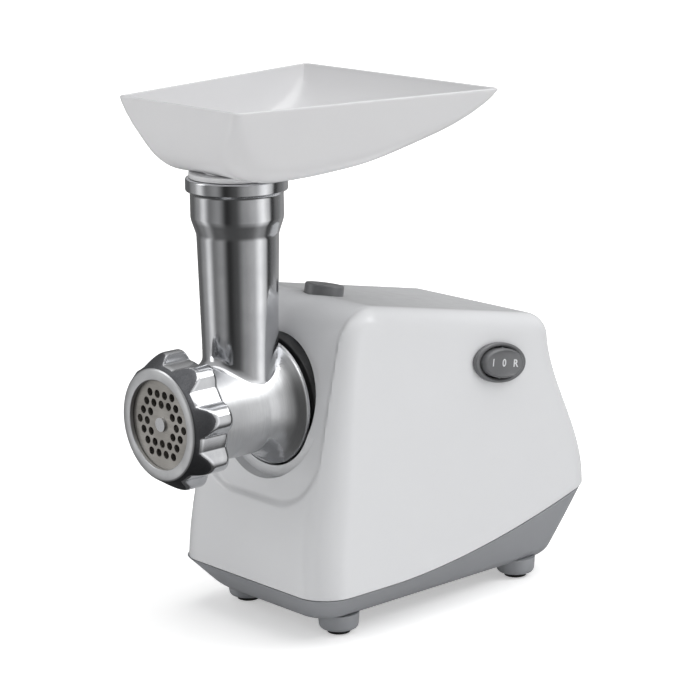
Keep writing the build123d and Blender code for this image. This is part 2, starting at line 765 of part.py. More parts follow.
with BuildPart() as brush_holders:
    for side in (-1, 1):
        inner, outer = sorted((side * 12.5, side * 30.0))
        bar((inner, 86, motor_z - 5), (outer, 97, motor_z + 5))
        foot_inner, foot_outer = sorted((side * 22.0, side * 30.0))
        bar((foot_inner, 96, motor_z - 5), (foot_outer, 101.9, motor_z + 5))
        bar((min(0, side * 28), 88 - fit, motor_z - 3 - fit), (max(0, side * 28), 95 + fit, motor_z + 3 + fit),
            mode=Mode.SUBTRACT)
save(brush_holders, "brush_holders")
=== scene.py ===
import math

import bmesh
import bpy
import numpy as np
from mathutils import Euler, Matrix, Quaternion, Vector


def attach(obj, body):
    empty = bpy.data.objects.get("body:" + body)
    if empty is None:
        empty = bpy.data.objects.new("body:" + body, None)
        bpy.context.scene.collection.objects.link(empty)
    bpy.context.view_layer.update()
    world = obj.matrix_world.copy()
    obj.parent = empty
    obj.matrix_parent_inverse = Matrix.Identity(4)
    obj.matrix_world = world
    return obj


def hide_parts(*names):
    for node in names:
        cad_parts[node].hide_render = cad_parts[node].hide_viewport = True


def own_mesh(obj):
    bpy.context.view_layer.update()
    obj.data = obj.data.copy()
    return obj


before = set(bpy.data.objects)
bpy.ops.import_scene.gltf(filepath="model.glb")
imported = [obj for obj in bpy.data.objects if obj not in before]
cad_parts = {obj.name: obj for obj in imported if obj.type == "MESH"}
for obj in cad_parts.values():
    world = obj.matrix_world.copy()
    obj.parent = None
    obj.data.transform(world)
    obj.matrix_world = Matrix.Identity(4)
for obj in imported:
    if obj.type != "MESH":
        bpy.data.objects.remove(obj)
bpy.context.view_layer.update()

mm = 0.001
tubeY = -90.5       # the feed tube's axis, mm
screwZ = 150.0      # the screw's axis, mm
weldGap = 1e-6      # points nearer than this are one, m
defaultSharp = 35   # edges that turn more than this stay sharp, degrees
rayReach = 260.0    # longer than any ray from a piece's centre to its skin, mm
rayHalvings = 34    # which brings a ray's end to far less than a micron


def linear(hexColour):
    # each sRGB channel is turned to linear light
    channels = [int(hexColour[i:i + 2], 16) / 255 for i in (0, 2, 4)]
    light = [c / 12.92 if c <= 0.04045 else ((c + 0.055) / 1.055) ** 2.4 for c in channels]
    return (*light, 1.0)


def put(tree, kind, values=None, links=None, **settings):
    # adds one node: settings are its options, values its socket numbers, links what feeds its sockets
    node = tree.nodes.new(kind)
    for name, value in settings.items():
        setattr(node, name, value)
    for name, value in (values or {}).items():
        node.inputs[name].default_value = value
    for name, source in (links or {}).items():
        tree.links.new(source, node.inputs[name])
    return node


def gridFaces(rows, cols):
    # quads between neighbouring rows and columns; the last column is joined to the first
    grid = np.arange(rows * cols).reshape(rows, cols)
    grid = np.concatenate([grid, grid[:, :1]], axis=1)
    corners = [grid[:-1, :-1], grid[:-1, 1:], grid[1:, 1:], grid[1:, :-1]]
    return np.stack(corners, axis=-1).reshape(-1, 4)


def meshPiece(name, patches, sharpAngle=defaultSharp):
    # patches are grids of points in mm: (rows, columns, 3), each joined round its columns
    verts, faces, count = [], [], 0
    for points in patches:
        rows, cols = points.shape[:2]
        verts.append(points.reshape(-1, 3) * mm)
        faces.append(gridFaces(rows, cols) + count)
        count += rows * cols
    mesh = bpy.data.meshes.new(name)
    mesh.from_pydata(np.concatenate(verts).tolist(), [], np.concatenate(faces).tolist())
    piece = bpy.data.objects.new(name, mesh)
    bpy.context.scene.collection.objects.link(piece)
    tidyMesh(piece, sharpAngle)
    return piece


def tidyMesh(piece, sharpAngle=defaultSharp):
    # welds seams and poles, turns the faces outward and smooths all but the sharp edges
    work = bmesh.new()
    work.from_mesh(piece.data)
    bmesh.ops.remove_doubles(work, verts=work.verts, dist=weldGap)
    bmesh.ops.dissolve_degenerate(work, dist=weldGap / 10, edges=work.edges)
    bmesh.ops.recalc_face_normals(work, faces=work.faces)
    work.to_mesh(piece.data)
    work.free()
    piece.data.polygons.foreach_set("use_smooth", [True] * len(piece.data.polygons))
    piece.data.set_sharp_from_angle(angle=math.radians(sharpAngle))


def cut(piece, tool, operation="DIFFERENCE"):
    # joins or cuts two closed meshes, then removes the tool
    modifier = piece.modifiers.new("cut", "BOOLEAN")
    modifier.operation = operation
    modifier.solver = "EXACT"
    modifier.object = tool
    evaluated = piece.evaluated_get(bpy.context.evaluated_depsgraph_get())
    result = bpy.data.meshes.new_from_object(evaluated)
    result.name = piece.name
    piece.modifiers.clear()
    piece.data = result
    bpy.data.objects.remove(tool)
    tidyMesh(piece)


def finishPiece(piece, material, body, slot, *nodes):
    piece.data.materials.clear()
    piece.data.materials.append(material)
    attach(piece, body)
    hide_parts(*nodes)
    print("made", piece.name, len(piece.data.polygons), "faces")


def markFaces(piece, pick, *extra):
    # pick gives each face's material from the x, y and z of its centre in mm: 0 is the piece's own, then
    # come the extra ones
    centres = np.zeros(len(piece.data.polygons) * 3)
    piece.data.polygons.foreach_get("center", centres)
    for material in extra:
        piece.data.materials.append(material)
    chosen = pick(*(centres.reshape(-1, 3) / mm).T)
    piece.data.polygons.foreach_set("material_index", chosen.astype(int))


def rounded(corners, cutBack, steps=5, closed=True):
    # each corner of the outline becomes a quadratic curve that starts and ends cutBack away from it
    corners = np.array(corners, float)
    last = len(corners) - 1
    line = []
    t = np.linspace(0, 1, steps)[:, None]
    for i, corner in enumerate(corners):
        if not closed and i in (0, last):
            line.append(corner[None])
            continue
        before, after = corners[i - 1] - corner, corners[(i + 1) % len(corners)] - corner
        size = cutBack[i] if isinstance(cutBack, (list, tuple)) else cutBack
        start = corner + before * min(0.49, size / max(np.hypot(*before), 1e-6))
        end = corner + after * min(0.49, size / max(np.hypot(*after), 1e-6))
        line.append((1 - t) ** 2 * start + 2 * t * (1 - t) * corner + t ** 2 * end)
    line = np.concatenate(line)
    return np.concatenate([line, line[:1]]) if closed else line


def turnedAbout(profile, centre, along, columns=96):
    # a turned surface: each (distance along, radius) of the profile is carried round the axis
    angle = np.linspace(0, 2 * np.pi, columns, endpoint=False)
    along = np.array(along, float) / np.linalg.norm(along)
    side = np.cross(along, (0, 0, 1.0) if abs(along[2]) < 0.9 else (0, 1.0, 0))
    side /= np.linalg.norm(side)
    up = np.cross(along, side)
    ring = np.cos(angle)[:, None] * side + np.sin(angle)[:, None] * up
    return np.array(centre) + profile[:, 0, None, None] * along + profile[:, 1, None, None] * ring


def roundMax(a, b, radius):
    # the inside of both a and b, where they meet at a corner of this radius
    a, b = a + radius, b + radius
    return np.minimum(np.maximum(a, b), 0) + np.hypot(np.maximum(a, 0), np.maximum(b, 0)) - radius


def roundMaxSoft(a, b, blend):
    # the larger of a and b, with a parabola over the blend where they cross
    share = np.clip(0.5 + (a - b) / (4 * blend), 0, 1)
    return b + (a - b) * share + 2 * blend * share * (1 - share)


def smoothStep(x, low, high):
    # 0 below low, 1 above high, and a cubic between that starts and ends level
    t = np.clip((x - low) / (high - low), 0, 1)
    return t * t * (3 - 2 * t)


def castSkin(depth, centre, directions, level):
    # the surface where depth(point) = level: each ray from the centre is halved until it lands there
    near = np.zeros(directions.shape[:-1])
    far = np.full(directions.shape[:-1], rayReach)
    unit = directions / np.linalg.norm(directions, axis=-1, keepdims=True)
    for _ in range(rayHalvings):
        middle = (near + far) / 2
        inside = depth(centre + middle[..., None] * unit) < level
        near = np.where(inside, middle, near)
        far = np.where(inside, far, middle)
    return centre + near[..., None] * unit


cameraBox = {
    "place": (1.2098, -1.0831, 0.5666),
    "heading": 48.087, "dip": 13.698, "roll": -0.715,   # degrees
    "lens": 130.5,                                      # mm, on a 36 mm sensor
}


def makeCamera():
    data = bpy.data.cameras.new("camera")
    camera = bpy.data.objects.new("camera", data)
    bpy.context.scene.collection.objects.link(camera)
    tilt, heading = math.radians(90 - cameraBox["dip"]), math.radians(cameraBox["heading"])
    aim = Euler((tilt, 0, heading)).to_quaternion()
    camera.rotation_mode = "QUATERNION"
    camera.rotation_quaternion = aim @ Quaternion((0, 0, 1), math.radians(cameraBox["roll"]))
    camera.location = cameraBox["place"]
    data.lens = cameraBox["lens"]
    data.sensor_width = 36
    bpy.context.scene.camera = camera
    print("camera placed")


studio = {
    "sky": (0.16, 0.40),                # light on matt surfaces: even, and more where the cards are
    "sun": (1.75, 75, (-14, 12, 0)),    # overhead diffuser: strength, width in degrees, tilt in degrees
    # what polished metal mirrors, going round the set: (degrees, brightness) of white and black cards
    "cards": [(-178, 0.18), (-150, 0.5), (-131, 1.3), (-112, 0.3), (-88, 0.5), (-66, 0.04), (-44, 0.12),
              (-20, 0.5), (4, 0.75), (26, 1.7), (44, 1.0), (54, 0.04), (76, 0.3), (104, 0.5), (150, 0.2)],
    "ceiling": 0.75, "ceilingFade": (0.35, 0.8),      # brightness, and the heights it comes in over
    "ground": 0.12, "groundFade": (-0.35, -0.75),
    "floor": (6.0, 1.5), "bend": (0.1, 1.4),          # flat radius and far bend's radius (m), its angles
    "lamps": [   # name, place, aimed at, size (m), watts
        ("left", (-1.5, -1.9, 1.3), (0, 0, 0.15), (0.7, 1.5), 7),
        ("right", (1.6, 1.5, 1.8), (0, 0, 0.2), (0.7, 1.3), 9),
    ],
}


def makeStudio():
    scene = bpy.context.scene
    world = bpy.data.worlds.new("studio")
    scene.world = world
    world.use_nodes = True
    tree = world.node_tree
    tree.nodes.clear()
    split = put(tree, "ShaderNodeSeparateXYZ",
                links={"Vector": put(tree, "ShaderNodeTexCoord").outputs["Generated"]})
    around = put(tree, "ShaderNodeMath", links={0: split.outputs["Y"], 1: split.outputs["X"]},
                 operation="ARCTAN2")
    share = put(tree, "ShaderNodeMapRange", {"From Min": -math.pi, "From Max": math.pi},
                {"Value": around.outputs[0]})
    cards = put(tree, "ShaderNodeValToRGB", links={"Fac": share.outputs[0]})
    cards.color_ramp.interpolation = "EASE"
    while len(cards.color_ramp.elements) < len(studio["cards"]):
        cards.color_ramp.elements.new(0.5)
    for stop, (degrees, bright) in zip(cards.color_ramp.elements, studio["cards"]):
        stop.position = degrees / 360 + 0.5
        stop.color = (bright, bright, bright, 1)
    # the white ceiling is above the cards, the dark foot of the set below them
    fades = []
    for low, high in (studio["ceilingFade"], studio["groundFade"]):
        fades.append(put(tree, "ShaderNodeMapRange", {"From Min": low, "From Max": high},
                         {"Value": split.outputs["Z"]}))
    upper = put(tree, "ShaderNodeMix", {3: studio["ceiling"]},
                {0: fades[0].outputs[0], 2: cards.outputs["Color"]})
    seen = put(tree, "ShaderNodeMix", {3: studio["ground"]}, {0: fades[1].outputs[0], 2: upper.outputs[0]})
    even, more = studio["sky"]
    matt = put(tree, "ShaderNodeMath", {1: more, 2: even}, {0: upper.outputs[0]},
               operation="MULTIPLY_ADD")
    path = put(tree, "ShaderNodeLightPath")
    light = put(tree, "ShaderNodeMix", links={0: path.outputs["Is Glossy Ray"], 2: matt.outputs[0],
                                              3: seen.outputs[0]})
    sky = put(tree, "ShaderNodeBackground", links={"Strength": light.outputs[0]})
    put(tree, "ShaderNodeOutputWorld", links={"Surface": sky.outputs[0]})
    strength, width, tilt = studio["sun"]
    data = bpy.data.lights.new("diffuser", "SUN")
    data.energy = strength
    data.angle = math.radians(width)
    sun = bpy.data.objects.new("diffuser", data)
    sun.rotation_euler = [math.radians(t) for t in tilt]
    scene.collection.objects.link(sun)
    for name, place, aim, size, watts in studio["lamps"]:
        data = bpy.data.lights.new(name, "AREA")
        data.shape = "RECTANGLE"
        data.size, data.size_y = size
        data.energy = watts
        lamp = bpy.data.objects.new(name, data)
        lamp.location = place
        lamp.rotation_euler = (Vector(aim) - Vector(place)).to_track_quat("-Z", "Y").to_euler()
        scene.collection.objects.link(lamp)
    # a wide round floor: a flat disc whose far edge bends up along an arc
    flat, bendRadius = studio["floor"]
    bend = np.linspace(*studio["bend"], 8)
    rise = np.concatenate([np.zeros(13), bendRadius * (1 - np.cos(bend))])
    out = np.concatenate([np.linspace(0, flat, 13), flat + bendRadius * np.sin(bend)])
    profile = np.stack([rise, out], axis=-1)
    floor = meshPiece("floor", [turnedAbout(profile / mm, (0, 0, 0), (0, 0, 1))])
    floor.data.materials.append(paleFloor())
    floor.visible_glossy = False
    scene.view_settings.view_transform = "Standard"
    print("studio ready")


def newMaterial(name):
    material = bpy.data.materials.new(name)
    material.use_nodes = True
    tree = material.node_tree
    tree.nodes.clear()
    return material, tree


def finishMaterial(tree, shader):
    put(tree, "ShaderNodeOutputMaterial", links={"Surface": shader.outputs[0]})


def paleFloor():
    # seamless white backing paper, matt
    material, tree = newMaterial("pale_paper")
    place = put(tree, "ShaderNodeTexCoord").outputs["Object"]
    cloud = put(tree, "ShaderNodeTexNoise", {"Scale": 2.0, "Detail": 2.0}, {"Vector": place})
    colour = put(tree, "ShaderNodeMix", {6: linear("F7F7F7"), 7: linear("FBFBFB")},
                 {0: cloud.outputs["Fac"]}, data_type="RGBA")
    shader = put(tree, "ShaderNodeBsdfPrincipled", {"Roughness": 0.9, "Specular IOR Level": 0.1},
                 {"Base Color": colour.outputs[2]})
    # the paper glows a little, but only as the camera sees it
    path = put(tree, "ShaderNodeLightPath")
    lift = put(tree, "ShaderNodeMath", {1: 0.42}, {0: path.outputs["Is Camera Ray"]},
               operation="MULTIPLY")
    glow = put(tree, "ShaderNodeEmission", links={"Strength": lift.outputs[0]})
    both = put(tree, "ShaderNodeAddShader", links={0: shader.outputs[0], 1: glow.outputs[0]})
    finishMaterial(tree, both)
    return material


bumpDepth = 0.05 * mm      # how far a full step of a bump pattern stands up


def mouldedPlastic(name, colour, shade, rough, grain, lift):
    # injection-moulded plastic: its colour drifts a little, and a ripple of grain mm shows in the skin
    material, tree = newMaterial(name)
    place = put(tree, "ShaderNodeTexCoord").outputs["Object"]
    drift = put(tree, "ShaderNodeTexNoise", {"Scale": 1 / (60 * mm), "Detail": 3.0}, {"Vector": place})
    mixed = put(tree, "ShaderNodeMix", {6: linear(shade), 7: linear(colour)},
                {0: drift.outputs["Fac"]}, data_type="RGBA")
    ripple = put(tree, "ShaderNodeTexNoise", {"Scale": 1 / (grain * mm), "Detail": 2.0}, {"Vector": place})
    dull = put(tree, "ShaderNodeMapRange", {"To Min": rough * 0.85, "To Max": rough * 1.15},
               {"Value": ripple.outputs["Fac"]})
    bump = put(tree, "ShaderNodeBump", {"Strength": lift, "Distance": bumpDepth},
               {"Height": ripple.outputs["Fac"]})
    shader = put(tree, "ShaderNodeBsdfPrincipled", {"IOR": 1.5},
                 {"Base Color": mixed.outputs[2], "Roughness": dull.outputs[0], "Normal": bump.outputs[0]})
    finishMaterial(tree, shader)
    return material


def workedMetal(name, colour, shade, rough, spread, streak, lift):
    # cut, ground or polished metal: marks of streak mm along x, y and z, darker and duller in the marks
    material, tree = newMaterial(name)
    place = put(tree, "ShaderNodeTexCoord").outputs["Object"]
    scaled = put(tree, "ShaderNodeMapping", {"Scale": [1 / (s * mm) for s in streak]}, {"Vector": place})
    marks = put(tree, "ShaderNodeTexNoise", {"Scale": 1.0, "Detail": 4.0, "Roughness": 0.6},
                {"Vector": scaled.outputs[0]})
    cloud = put(tree, "ShaderNodeTexNoise", {"Scale": 1 / (18 * mm), "Detail": 2.0}, {"Vector": place})
    both = put(tree, "ShaderNodeMath", links={0: marks.outputs["Fac"], 1: cloud.outputs["Fac"]},
               operation="MULTIPLY")
    share = put(tree, "ShaderNodeMapRange", {"From Min": 0.12, "From Max": 0.4},
                {"Value": both.outputs[0]})
    mixed = put(tree, "ShaderNodeMix", {6: linear(shade), 7: linear(colour)},
                {0: share.outputs[0]}, data_type="RGBA")
    dull = put(tree, "ShaderNodeMapRange", {"To Min": rough + spread, "To Max": rough},
               {"Value": share.outputs[0]})
    bump = put(tree, "ShaderNodeBump", {"Strength": lift, "Distance": bumpDepth},
               {"Height": marks.outputs["Fac"]})
    shader = put(tree, "ShaderNodeBsdfPrincipled", {"Metallic": 1.0},
                 {"Base Color": mixed.outputs[2], "Roughness": dull.outputs[0], "Normal": bump.outputs[0]})
    finishMaterial(tree, shader)
    return material


def mouldedRubber():
    # matt black moulded rubber, slightly pitted
    material, tree = newMaterial("moulded_rubber")
    place = put(tree, "ShaderNodeTexCoord").outputs["Object"]
    pits = put(tree, "ShaderNodeTexNoise", {"Scale": 1 / (0.8 * mm), "Detail": 3.0}, {"Vector": place})
    colour = put(tree, "ShaderNodeMix", {6: linear("121212"), 7: linear("262626")},
                 {0: pits.outputs["Fac"]}, data_type="RGBA")
    bump = put(tree, "ShaderNodeBump", {"Strength": 0.3, "Distance": 2 * bumpDepth},
               {"Height": pits.outputs["Fac"]})
    shader = put(tree, "ShaderNodeBsdfPrincipled", {"Roughness": 0.75, "IOR": 1.52},
                 {"Base Color": colour.outputs[2], "Normal": bump.outputs[0]})
    finishMaterial(tree, shader)
    return material


finishes = {
    # glossy white ABS: clean reflections, hardly any grain
    "white_housing": mouldedPlastic("glossy_white_abs", "E6E7E9", "E3E4E6", 0.17, 9.0, 0.03),
    # glossy white polypropylene: softer gloss than ABS
    "white_hopper": mouldedPlastic("glossy_white_polypropylene", "E8E8E9", "E4E4E6", 0.2, 12.0, 0.03),
    # satin grey ABS: broad dull highlights from a fine spark-eroded skin
    "grey_base": mouldedPlastic("satin_grey_abs", "A3A5A9", "9D9FA3", 0.42, 0.9, 0.25),
    # mid-grey ABS of the button and switch frame, a little glossier
    "grey_trim": mouldedPlastic("smooth_grey_abs", "737476", "6D6E70", 0.33, 1.5, 0.1),
    # glass-filled nylon: black, with an even dull sheen
    "black_plastic": mouldedPlastic("black_glass_filled_nylon", "1E1E20", "171719", 0.45, 1.0, 0.2),
    # urea moulding: hard, cream and half glossy, as switches and terminal blocks are
    "cream_plastic": mouldedPlastic("cream_urea_moulding", "D8CDB0", "CFC3A4", 0.4, 1.2, 0.15),
    # unfilled nylon: waxy off-white
    "gear_nylon": mouldedPlastic("natural_nylon", "E3DDC8", "DAD3BC", 0.4, 1.0, 0.15),
    "rubber": mouldedRubber(),
    # polished aluminium: mirror-like, with the faint waviness of a buffing wheel
    "polished_aluminium": workedMetal("polished_aluminium", "D2D3D5", "C3C4C7", 0.12, 0.05,
                                      (9, 9, 30), 0.03),
    # turned aluminium: satin, with fine rings left by the lathe tool
    "turned_aluminium": workedMetal("turned_aluminium", "D6D7D8", "C2C3C5", 0.3, 0.06, (12, 0.35, 12), 0.1),
    # the dark material of the cone under the lobes, dull and sandy: its dark colour is painted shade for
    # the hollows between the lobes
    "cast_aluminium": workedMetal("cast_aluminium", "77787B", "5C5D60", 0.42, 0.12, (0.7, 0.7, 0.7), 0.35),
    # zinc die casting: duller and a little darker, lightly pitted
    "die_cast_zinc": workedMetal("die_cast_zinc", "BDBFC2", "9D9FA3", 0.28, 0.14, (0.9, 0.9, 0.9), 0.25),
    # surface-ground steel: matt grey with fine parallel scratches across the face
    "plate_steel": workedMetal("ground_tool_steel", "C4C1BC", "AAA7A2", 0.42, 0.15, (14, 0.5, 0.35), 0.25),
    # shafts ground between centres: bright, with short marks round them
    "ground_steel": workedMetal("ground_shaft_steel", "B4B5B7", "98999B", 0.25, 0.12, (0.6, 8, 0.6), 0.15),
    # zinc-plated steel: cool grey with cloudy patches
    "zinc_steel": workedMetal("zinc_plated_steel", "C3C6C8", "A2A7AB", 0.32, 0.14, (4, 4, 4), 0.12),
    # drawn spring wire: dark grey, smooth along its length
    "spring_steel": workedMetal("drawn_spring_steel", "8F9093", "737478", 0.3, 0.1, (0.5, 0.5, 3), 0.1),
    # stacked laminations: thin bright and dark lines every sheet
    "laminated_steel": workedMetal("stacked_laminations", "7D7E81", "4E4F52", 0.45, 0.2, (9, 0.5, 9), 0.5),
    # sintered bronze: warm, dull and grainy
    "bronze": workedMetal("sintered_bronze", "B78E57", "8F6B3D", 0.4, 0.15, (0.5, 0.5, 0.5), 0.25),
    # windings of enamelled wire: brown-red and glossy, with darker flecks painted in as the thin shadow
    # each turn casts
    "enamelled_copper": workedMetal("enamelled_copper_wire", "B0602F", "7A3C1B", 0.3, 0.15,
                                    (0.6, 0.6, 0.6), 0.5),
    # pressed carbon: black and chalky
    "carbon": mouldedPlastic("pressed_carbon", "2A2A2B", "1C1C1D", 0.6, 0.6, 0.3),
}


def dressFrame():
    # every node of the frame gets the made-up finish of its slot
    for name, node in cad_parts.items():
        slotName = next((s.material.name for s in node.material_slots if s.material), "")
        finish = next((finishes[s] for s in finishes if slotName.startswith(s)), None)
        if finish is None:
            print("no finish for", name, slotName)
            continue
        for place in node.material_slots:
            place.material = finish
    print("frame dressed")


casing = {
    "barrel": 31.0, "tube": 24.2,           # outer radii
    "joinFront": 8.0, "joinBack": 2.5,      # radius of the fillet where the tube meets the barrel
    "around": 160,                          # points round the barrel and round the tube
    # the barrel from front to back: (y, radius, how far its corner is rounded)
    "barrelLine": [
        (-153.5, 0, 0), (-153.5, 33.7, 0.3), (-152.7, 34.5, 0.3), (-131, 34.5, 0.4),             # thread
        (-130, 31.0, 0.6), (-92, 31.0, 0.6), (-86, 31.6, 2.5), (-80, 33.4, 2.5), (-75.5, 36.4, 2),
        (-72.8, 39.6, 1.6), (-71.0, 41.5, 0.8), (-68.5, 41.5, 0.5),                              # flange
        (-68.5, 35.9, 0.3), (-63, 35.9, 0.3), (-63, 32.6, 0.3), (-56.2, 32.6, 0.3),              # spigot
        (-56.2, 35.9, 0.3), (-53.5, 35.9, 0.5), (-53.5, 0, 0)],
    # the tube from its fillet up: (radius, z, how far its corner is rounded)
    "tubeLine": [
        (24.2, 191, 0), (24.35, 196, 1), (26.0, 262, 1.6), (29.0, 271, 1.2), (29.4, 273.2, 0.5),
        (29.4, 288, 0.8), (30.2, 289.3, 0.4), (32.2, 290.2, 0.6), (32.2, 297.2, 0.6), (31.4, 298, 0.4),
        (0, 298, 0)],
    # what is hollowed: the barrel as (y, radius), the tube as (z, radius)
    "barrelHollow": [(-160, 0), (-160, 31.2), (-148, 31.2), (-148, 28), (-56, 28), (-56, 14), (-50, 14),
                     (-50, 0)],
    "tubeHollow": [(150, 0), (150, 21.5), (268, 21.5), (268, 26.5), (302, 26.5), (302, 0)],
    "turnedFrom": -93, "turnedBelow": 196,  # behind this y and under this z the casting is lathe-turned
}


def roundedLine(rows, steps=5):
    # the last number of each row says how far its corner is rounded
    rows = np.array(rows, float)
    return rounded(rows[:, :2], rows[:, 2].tolist(), steps, closed=False)


def makeCasing():
    c = casing
    barrel = roundedLine(c["barrelLine"], 6)
    piece = meshPiece("cast_casing", [turnedAbout(barrel, (0, 0, screwZ), (0, 1, 0), c["around"])])
    # the tube: a ball of the fillet's radius rolls round the corner between tube and barrel,
    # and its touching points on each give the two edges of the fillet
    turn = np.linspace(0, 2 * np.pi, c["around"], endpoint=False)
    outward = np.stack([np.sin(turn), -np.cos(turn), np.zeros_like(turn)], axis=-1)
    ball = c["joinBack"] + (c["joinFront"] - c["joinBack"]) * (0.5 + 0.5 * np.cos(turn)) ** 0.7
    reach = c["barrel"] - 0.12      # just inside the barrel, so that the two cross cleanly
    centre = outward * (c["tube"] + ball)[:, None] + (0, tubeY, screwZ)
    centre[:, 2] += np.sqrt((reach + ball) ** 2 - centre[:, 0] ** 2)
    toBarrel = (0, 0, screwZ) - centre * (1, 0, 1)
    toBarrel /= np.linalg.norm(toBarrel, axis=1, keepdims=True)
    rows = []
    for share in np.linspace(1, 0, 9):
        aim = toBarrel * share - outward * (1 - share)
        rows.append(centre + ball[:, None] * aim / np.linalg.norm(aim, axis=1, keepdims=True))
    # below the fillet the tube narrows and closes inside the barrel
    foot = (rows[0] - (0, tubeY, 0)) * (0.8, 0.8, 0) + (0, tubeY, screwZ + 8)
    middle = np.broadcast_to((0, tubeY, screwZ + 8), foot.shape)
    side = roundedLine(c["tubeLine"], 6)
    upper = side[:, :1, None] * outward + (0, tubeY, 0) + side[:, 1:, None] * (0, 0, 1)
    tube = meshPiece("tube", [np.concatenate([[middle, foot], rows, upper])])
    cut(piece, tube, "UNION")
    hollow = turnedAbout(np.array(c["barrelHollow"]), (0, 0, screwZ), (0, 1, 0))
    cut(piece, meshPiece("hollow", [hollow]))
    throat = turnedAbout(np.array(c["tubeHollow"]), (0, tubeY, 0), (0, 0, 1))
    cut(piece, meshPiece("throat", [throat]))
    finishPiece(piece, finishes["polished_aluminium"], "head", "polished_aluminium", "screw_casing")

    # the barrel is turned on a lathe, the tube and the fillet are buffed
    def turned(x, y, z):
        beyondTube = np.hypot(x, y - tubeY) > c["tube"] + c["joinBack"]
        behind = beyondTube & (y > c["turnedFrom"]) & (z < c["turnedBelow"])
        return (np.hypot(x, z - screwZ) < c["barrel"] + 0.1) | behind

    markFaces(piece, turned, finishes["turned_aluminium"])


nut = {
    "front": -158.0, "rear": -132.5, "lobes": 8, "firstLobe": 12.0,
    "round": 38.2, "lobe": 9.4, "lobeAt": 34.6,
    "coneFront": 35.5, "coneRear": 44.2, "coneLength": 12.5,
    "hole": 28.5, "thread": 34.8, "lip": 3.0,
    "lobeBlend": 6.0, "coneBlend": 0.9,     # how wide a lobe runs into the body, and the cone into both
    # distance behind the front, and how much the edge is rounded in there; the rows between are even
    "frontEdge": [(0, 0.9), (0.25, 0.45), (0.6, 0.12), (1.0, 0)],
    "rearEdge": [(20, 0), (23, 0), (24.4, 0.1), (25.0, 0.35), (25.35, 0.7), (25.5, 1.2)],
    "around": 384,
}


def makeNut():
    n = nut
    turn = np.linspace(0, 2 * np.pi, n["around"], endpoint=False)
    # outline: the round body, or a lobe's own circle where that stands further out, with a parabola
    # where they cross
    step = 2 * np.pi / n["lobes"]
    off = np.mod(turn - math.radians(n["firstLobe"]), step)
    off = np.minimum(off, step - off)
    across = n["lobeAt"] * np.sin(off)
    lobe = n["lobeAt"] * np.cos(off) + np.sqrt(np.maximum(n["lobe"] ** 2 - across ** 2, 0))
    outline = roundMaxSoft(lobe, n["round"], n["lobeBlend"] / 4)
    # the front is cut back as a cone, so the lobes rise out of it
    between = np.linspace(1.6, n["coneLength"] + 4, 34)
    ahead, edge = np.concatenate([n["frontEdge"], np.stack([between, 0 * between], axis=-1),
                                  n["rearEdge"]]).T
    slope = (n["coneRear"] - n["coneFront"]) / n["coneLength"]
    cone = (n["coneFront"] + slope * ahead)[:, None]
    radius = -roundMaxSoft(-outline, -cone, n["coneBlend"]) - edge[:, None]

    def carried(radius, y):
        return np.stack([radius * np.cos(turn), y[:, None] + 0 * radius, screwZ + radius * np.sin(turn)],
                        axis=-1)

    outer = carried(radius, n["front"] + ahead)
    lipRear = n["front"] + n["lip"] - 0.3
    face = roundedLine([(n["rear"] - 1.2, n["round"], 0), (n["rear"], 36.5, 0.4),
                        (n["rear"], n["thread"] + 0.6, 0.3), (n["rear"] - 0.7, n["thread"], 0.3),
                        (lipRear, n["thread"], 0.3), (lipRear, n["hole"], 0.3),
                        (n["front"], n["hole"], 0.5), (n["front"], n["hole"] + 3, 0)])[1:]
    inner = carried(face[:, 1:] + 0 * turn, face[:, 0])
    piece = meshPiece("ring_nut_lobed", [np.concatenate([outer, inner, outer[:1]])], 40)
    finishPiece(piece, finishes["polished_aluminium"], "nut", "polished_aluminium", "ring_nut")

    # the cone between the lobes gets the dark material, painted shade for the hollows between the lobes;
    # the front ring is faced off on a lathe
    def worked(x, y, z):
        out = np.hypot(x, z - screwZ)
        onCone = np.abs(out - n["coneFront"] - slope * (y - n["front"])) < 0.35
        onFace = (y < n["front"] + 0.7) | (out < n["thread"] + 0.2)
        return np.where(onFace, 2, np.where(onCone, 1, 0))

    markFaces(piece, worked, finishes["cast_aluminium"], finishes["turned_aluminium"])


pan = {
    "rim": 348.0, "lip": 1.0, "wall": 2.2,
    "half": (57.5, 95.4), "halfAt": (-140, 60),       # half widths of the rim, and the y of each
    "lean": 0.36,                                     # how much narrower for each mm down
    "corner": (2.5, 12.0), "cornerDown": 32,          # corner's radius at the rim, and this far below it
    "centre": -45.0, "reach": (92, 92, 48),           # where the rays start, and how they spread
    "nose": [(-137.2, 352), (-136.3, 340), (-133, 326), (-126, 312.5), (-114.5, 303), (-99, 299)],
    "keel": [(-80, 299), (-55, 301.2), (-30, 305), (-5, 312.4), (20, 321.8), (36, 332), (46.5, 343),
             (51.5, 352)],
    # the neck from its foot up to the pan: (z, radius, how far its corner is rounded), and its bore
    "neckLine": [(269, 0, 0), (269, 25.4, 0.4), (270, 26.2, 0.4), (298.2, 26.2, 0.3), (298.2, 30, 0.6),
                 (301.5, 30, 0.6), (301.5, 0, 0)],
    "neckHollow": [(260, 0), (260, 21.2), (320, 21.2), (320, 0)],
}


def throughPoints(points, steps):
    # between two points the curve is a cubic, whose slope at each comes from the points on either side
    points = np.array(points, float)
    slope = np.gradient(points, axis=0)
    t = np.linspace(0, 1, steps, endpoint=False)[None, :, None]
    start, end = points[:-1, None], points[1:, None]
    curve = ((2 * t ** 3 - 3 * t ** 2 + 1) * start + (t ** 3 - 2 * t ** 2 + t) * slope[:-1, None]
             + (3 * t ** 2 - 2 * t ** 3) * end + (t ** 3 - t ** 2) * slope[1:, None])
    return np.concatenate([curve.reshape(-1, 2), points[-1:]])


panLine = throughPoints(pan["nose"] + pan["keel"], 6)


